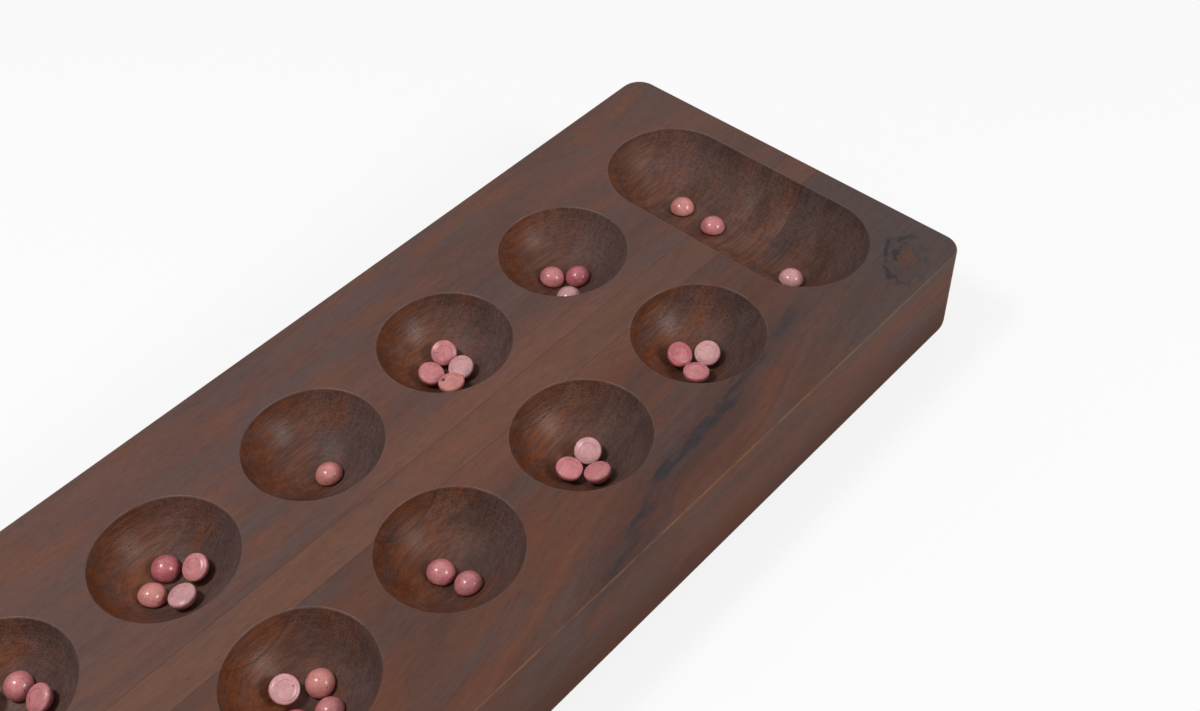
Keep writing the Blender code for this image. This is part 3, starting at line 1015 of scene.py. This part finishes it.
def stone_finish(slot):
    """A polished pink stone in the colour of this slot, made once."""
    name = f"{slot}_polished"
    if bpy.data.materials.get(name):
        return bpy.data.materials[name]
    look = bpy.context.scene.mancala_looks
    main = Vector(getattr(look, slot))
    made, tree, shader, point = start_finish(name, STONE_SPECULAR)
    fleck = {"Point": point, "Fleck": look.fleck_place, "Fleck Size": look.fleck_size}
    mottle = placed(stone_mottle, fleck)
    stone = tint(mottle["Clouds"], main * 0.88, main * 1.1)
    stone = tint(times(mottle["Veins"], 0.2), stone, look.stone_vein)
    stone = tint(1.0, stone, times_add(mottle["Grains"], 0.56, 0.72), "MULTIPLY")
    stone = tint(mottle["Flecks"], stone, look.stone_fleck)
    gloss = times_add(mottle["Grains"], 0.14, 0.15)
    gloss = times_add(surface_mark(tree, "flat_side"), 0.1, gloss)
    end_finish(tree, shader, stone, gloss, mottle["Clouds"], 0.25, 0.05)
    return made


# Values that a user would change


def length_value(name, description, default):
    limits = {"min": 0.0, "precision": 4, "unit": "LENGTH"}
    return FloatProperty(name=name, description=description, default=default, **limits)


def colour_value(name, place, default):
    description = f"Colour of the {place}"
    limits = {"size": 3, "min": 0.0, "max": 1.0, "subtype": "COLOR"}
    return FloatVectorProperty(name=name, description=description, default=default, **limits)


def share_value(name, description, default, highest=20.0):
    return FloatProperty(name=name, description=description, default=default, min=0.0, max=highest)


class MancalaSizes(bpy.types.PropertyGroup):
    """Sizes of the carving and of the stones"""

    pit_radius: length_value("Pit radius", "Radius of a pit at its sharp mouth", 0.0265)
    pit_depth: length_value("Pit depth", "Depth of a pit below the top", 0.0195)
    store_width: length_value("Store width", "Width of a store along the board", 0.0552)
    store_length: length_value("Store length", "Length of a store across the board", 0.1240)
    store_depth: length_value("Store depth", "Depth of a store below the top", 0.0210)
    rim_rounding: length_value("Rim rounding", "Rounding of the rim of each hollow", 0.0008)
    corner_radius: length_value("Corner radius", "Rounding of the upright corners", 0.0090)
    foot_rounding: length_value("Foot rounding", "Rounding of the bottom edge", 0.0085)
    top_arris: length_value("Top edge", "Fine rounding of the top edge", 0.0008)
    glue_line: length_value("Glue line", "Space left between two planks", 0.00004)
    stone_diameter: length_value("Stone diameter", "Width of a stone", 0.0103)
    stone_thickness: length_value("Stone thickness", "Thickness of a stone through its dome", 0.0054)
    stone_bevel: length_value("Stone bevel", "Rounding round the flat face of a stone", 0.0008)
    stone_edge: length_value("Stone edge", "Upright band between bevel and dome", 0.0004)
    stone_crown: length_value("Stone crown", "Slight crown of the flat face of a stone", 0.0002)


class PlankLook(bpy.types.PropertyGroup):
    """Colours of one plank"""

    light: colour_value("Light grain", "light bands", (0.11, 0.045, 0.025))
    dark: colour_value("Dark grain", "dark bands", (0.06, 0.026, 0.018))
    patch: colour_value("Patches", "broad soft patches", (0.08, 0.036, 0.026))
    cold: colour_value("Cold wood", "greyer wood at the right end", (0.064, 0.046, 0.043))
    by_joint: colour_value("Wood by the joint", "warm strip along a glue line", (0.142, 0.061, 0.041))
    # Also the painted shade and painted grey sheen on the walls of a hollow that face away
    cool: colour_value("Cool patches", "soft blue grey patches", (0.074, 0.047, 0.043))
    streak: colour_value("Streak", "dark streak and the knot", (0.022, 0.018, 0.021))
    worn: colour_value("Worn edge", "edge where the stain is rubbed off", (0.24, 0.10, 0.04))
    warm: colour_value("Warm streaks", "orange brown streaks", (0.13, 0.048, 0.024))
    # A painted highlight: the thin pale line round each hollow
    rubbed: colour_value("Rubbed rim", "thin pale line round each hollow", (0.16, 0.11, 0.09))
    carved: colour_value("Carved wood", "plain wall of a hollow", (0.098, 0.041, 0.027))
    # Warm patches in a hollow, and the painted light on the walls that face the front right
    bared: colour_value("Bared wood", "warm side of a hollow", (0.135, 0.040, 0.014))
    stained: colour_value("Stained wood", "side of a hollow that takes more stain", (0.084, 0.041, 0.032))


def plank_value(name):
    return PointerProperty(type=PlankLook, name=name, description=f"Colours of the {name.lower()}")


class MancalaLooks(bpy.types.PropertyGroup):
    """Colours of the wood and the stones"""

    far_plank: plank_value("Far plank")
    middle_plank: plank_value("Middle plank")
    near_plank: plank_value("Near plank")
    stone_salmon: colour_value("Salmon stone", "salmon stones", (0.600, 0.225, 0.200))
    stone_rose: colour_value("Rose stone", "rose stones", (0.550, 0.188, 0.200))
    stone_deep_pink: colour_value("Deep pink stone", "deep stones", (0.470, 0.122, 0.142))
    stone_pale_pink: colour_value("Pale pink stone", "pale stones", (0.600, 0.300, 0.305))
    stone_vein: colour_value("Vein", "pale veins in the stones", (0.68, 0.42, 0.38))
    stone_fleck: colour_value("Fleck", "dark flecks in the stones", (0.08, 0.05, 0.06))
    fleck_place: FloatVectorProperty(
        name="Fleck place",
        description="Where the one large fleck lies, in millimetres",
        default=(91.9, 28.4, 37.2),
        size=3,
    )
    fleck_size: share_value("Fleck size", "Radius of the large fleck, in millimetres", 0.9)


class MancalaStage(bpy.types.PropertyGroup):
    """Studio round the board"""

    floor: colour_value("Floor", "floor", (0.86, 0.86, 0.86))
    floor_size: length_value("Floor size", "Width of the floor", 60.0)
    floor_white: share_value("Floor white", "Share of plain white that is seen on the floor", 0.82, 1.0)
    sky: share_value("Sky", "Strength of the even light from all round", 0.32)
    key: share_value("Key lamp", "Power of the soft lamp behind and left, in watts", 5.8)
    fill: share_value("Fill lamp", "Power of the soft lamp in front, in watts", 10.5)


PLANK_LOOKS = {
    "far_plank": {
        "light": (0.122, 0.055, 0.040), "dark": (0.074, 0.038, 0.032), "patch": (0.090, 0.046, 0.038),
        "warm": (0.134, 0.050, 0.028), "worn": (0.20, 0.10, 0.055), "bared": (0.128, 0.034, 0.009),
        "carved": (0.105, 0.048, 0.035), "cool": (0.082, 0.052, 0.048),
    },
    "middle_plank": {
        "light": (0.152, 0.064, 0.040), "dark": (0.112, 0.048, 0.030), "patch": (0.108, 0.050, 0.036),
        "warm": (0.156, 0.058, 0.030), "worn": (0.22, 0.11, 0.055), "cold": (0.106, 0.050, 0.036),
        "cool": (0.100, 0.052, 0.042), "bared": (0.134, 0.038, 0.012),
    },
    "near_plank": {
        "light": (0.114, 0.045, 0.027), "dark": (0.064, 0.028, 0.021), "patch": (0.080, 0.037, 0.029),
        "warm": (0.124, 0.040, 0.019), "by_joint": (0.134, 0.055, 0.037), "worn": (0.24, 0.10, 0.040),
        "bared": (0.132, 0.034, 0.009),
    },
}


def set_default_looks(looks):
    """Gives each plank its own colours."""
    for name, values in PLANK_LOOKS.items():
        for key, value in values.items():
            setattr(getattr(looks, name), key, value)


# Operators and panel


def carve_plank(context, name, low_y, high_y, extras, climbs=False):
    """Cuts one plank and gives it its wood."""
    plank = cut_plank(name, low_y, high_y, context.scene.mancala_sizes)
    plank.data.materials.append(wood_finish(name, extras, climbs))
    return {"FINISHED"}


class MANCALA_OT_far_plank(bpy.types.Operator):
    """Carve the purple brown plank with the far row of pits"""

    bl_idname = "mancala.far_plank"
    bl_label = "Far Plank"

    def execute(self, context):
        return carve_plank(context, "far_plank", FAR_JOINT, None, far_plank_marks)


class MANCALA_OT_middle_plank(bpy.types.Operator):
    """Carve the narrow orange brown plank between the two glue lines"""

    bl_idname = "mancala.middle_plank"
    bl_label = "Middle Plank"

    def execute(self, context):
        return carve_plank(context, "middle_plank", NEAR_JOINT, FAR_JOINT, middle_plank_marks)


class MANCALA_OT_near_plank(bpy.types.Operator):
    """Carve the reddish brown plank with the near row of pits, the dark streak and the knot"""

    bl_idname = "mancala.near_plank"
    bl_label = "Near Plank"

    def execute(self, context):
        return carve_plank(context, "near_plank", None, NEAR_JOINT, near_plank_marks, climbs=True)


def lay_stones(context, hollow):
    """Lays every packed stone of this kind of hollow, and fails if there is none."""
    names = [name for name in sorted(SLOTS) if "_stone_" in name and f"_{hollow}_" in name]
    if not names:
        raise RuntimeError("The packed model has no such stones")
    for number, name in enumerate(names):
        lay_stone(name, number, context.scene.mancala_sizes)
    return {"FINISHED"}


class MANCALA_OT_pit_stones(bpy.types.Operator):
    """Lay the polished stones in the pits"""

    bl_idname = "mancala.pit_stones"
    bl_label = "Pit Stones"

    def execute(self, context):
        return lay_stones(context, "pit")


class MANCALA_OT_store_stones(bpy.types.Operator):
    """Lay the polished stones in the stores"""

    bl_idname = "mancala.store_stones"
    bl_label = "Store Stones"

    def execute(self, context):
        return lay_stones(context, "store")


def seen_directly(tree):
    """1 for rays from the camera, from a gloss or through glass, and 0 for the light on the board."""
    rays = put(tree, "ShaderNodeLightPath").outputs
    seen = larger(rays["Is Camera Ray"], rays["Is Glossy Ray"])
    return larger(seen, rays["Is Transmission Ray"])


def add_floor(look):
    """A wide pale floor that keeps a soft shadow."""
    clear_selection()
    bpy.ops.mesh.primitive_plane_add(size=look.floor_size, location=(0, 0, -FLOOR_DROP))
    floor = bpy.context.object
    floor.name = "studio_floor"
    bake_place(floor)
    paper = bpy.data.materials.new("studio_paper")
    paper.use_nodes = True
    tree = paper.node_tree
    tree.nodes.clear()
    matt = put(tree, "ShaderNodeBsdfDiffuse", {"Color": look.floor}).outputs[0]
    white = put(tree, "ShaderNodeEmission", {"Color": WHITE, "Strength": 1.0}).outputs[0]
    share = times(seen_directly(tree), look.floor_white)
    mixed = follow("ShaderNodeMixShader", {0: share, 1: matt, 2: white}).outputs[0]
    follow("ShaderNodeOutputMaterial", {0: mixed})
    lay_out(tree)
    floor.data.materials.append(paper)


def add_sky(look):
    """Even light from all round, which looks plain white where it is seen."""
    sky = bpy.data.worlds.new("studio_sky")
    bpy.context.scene.world = sky
    sky.use_nodes = True
    tree = sky.node_tree
    tree.nodes.clear()
    strength = remap(seen_directly(tree), 0.0, 1.0, look.sky, 1.0)
    light = follow("ShaderNodeBackground", {"Color": WHITE, "Strength": strength}).outputs[0]
    follow("ShaderNodeOutputWorld", {0: light})
    lay_out(tree)


def add_lamp(name, power):
    """A soft square lamp that points at the board."""
    direction, distance, size = LAMPS[name]
    toward = Vector(direction).normalized()
    clear_selection()
    bpy.ops.object.light_add(type="AREA", location=CAMERA_AIM + toward * distance)
    lamp = bpy.context.object
    lamp.name = name
    lamp.rotation_euler = toward.to_track_quat("Z", "Y").to_euler()
    lamp.data.size = size
    lamp.data.energy = power


def add_camera():
    """The camera at the photograph's viewing angle."""
    view = (CAMERA_AIM - CAMERA_PLACE).to_track_quat("-Z", "Y") @ Quaternion((0, 0, 1), CAMERA_ROLL)
    clear_selection()
    bpy.ops.object.camera_add(location=CAMERA_PLACE, rotation=view.to_euler())
    camera = bpy.context.object
    camera.name = "studio_camera"
    camera.data.lens = CAMERA_LENS
    camera.data.sensor_width = SENSOR_WIDTH
    camera.data.clip_start = CLIP_START
    bpy.context.scene.camera = camera


class MANCALA_OT_stage(bpy.types.Operator):
    """Set the floor, the light and the camera round the board"""

    bl_idname = "mancala.stage"
    bl_label = "Stage"

    def execute(self, context):
        look = context.scene.mancala_stage
        add_floor(look)
        add_sky(look)
        add_lamp("key_lamp", look.key)
        add_lamp("fill_lamp", look.fill)
        add_camera()
        context.scene.view_settings.view_transform = "Standard"
        return {"FINISHED"}


class MANCALA_PT_board(bpy.types.Panel):
    """Lists the pieces of the board and the values behind them"""

    bl_idname = "MANCALA_PT_board"
    bl_label = "Mancala Board"
    bl_space_type = "VIEW_3D"
    bl_region_type = "UI"
    bl_category = "Mancala Board"

    def draw(self, context):
        column = self.layout.column(align=True)
        for operator in OPERATORS:
            column.operator(operator.bl_idname)
        scene = context.scene
        for values in (scene.mancala_sizes, scene.mancala_looks, scene.mancala_stage):
            box = self.layout.box()
            for key in values.__annotations__:
                box.prop(values, key)


OPERATORS = (
    MANCALA_OT_far_plank,
    MANCALA_OT_middle_plank,
    MANCALA_OT_near_plank,
    MANCALA_OT_pit_stones,
    MANCALA_OT_store_stones,
    MANCALA_OT_stage,
)
CLASSES = (MancalaSizes, PlankLook, MancalaLooks, MancalaStage, *OPERATORS, MANCALA_PT_board)


def register():
    for made in CLASSES:
        bpy.utils.register_class(made)
    bpy.types.Scene.mancala_sizes = PointerProperty(type=MancalaSizes)
    bpy.types.Scene.mancala_looks = PointerProperty(type=MancalaLooks)
    bpy.types.Scene.mancala_stage = PointerProperty(type=MancalaStage)


def unregister():
    del bpy.types.Scene.mancala_stage
    del bpy.types.Scene.mancala_looks
    del bpy.types.Scene.mancala_sizes
    for made in reversed(CLASSES):
        bpy.utils.unregister_class(made)


def write_sizes():
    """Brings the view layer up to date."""
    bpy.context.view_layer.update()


def main():
    register()
    set_default_looks(bpy.context.scene.mancala_looks)
    bpy.ops.mancala.far_plank()
    bpy.ops.mancala.middle_plank()
    bpy.ops.mancala.near_plank()
    bpy.ops.mancala.pit_stones()
    bpy.ops.mancala.store_stones()
    bpy.ops.mancala.stage()
    for name in ("carved_slab", "turned_stone"):
        bpy.data.meshes.remove(bpy.data.meshes[name])
    clear_selection()
    write_sizes()


if __name__ == "__main__":
    main()
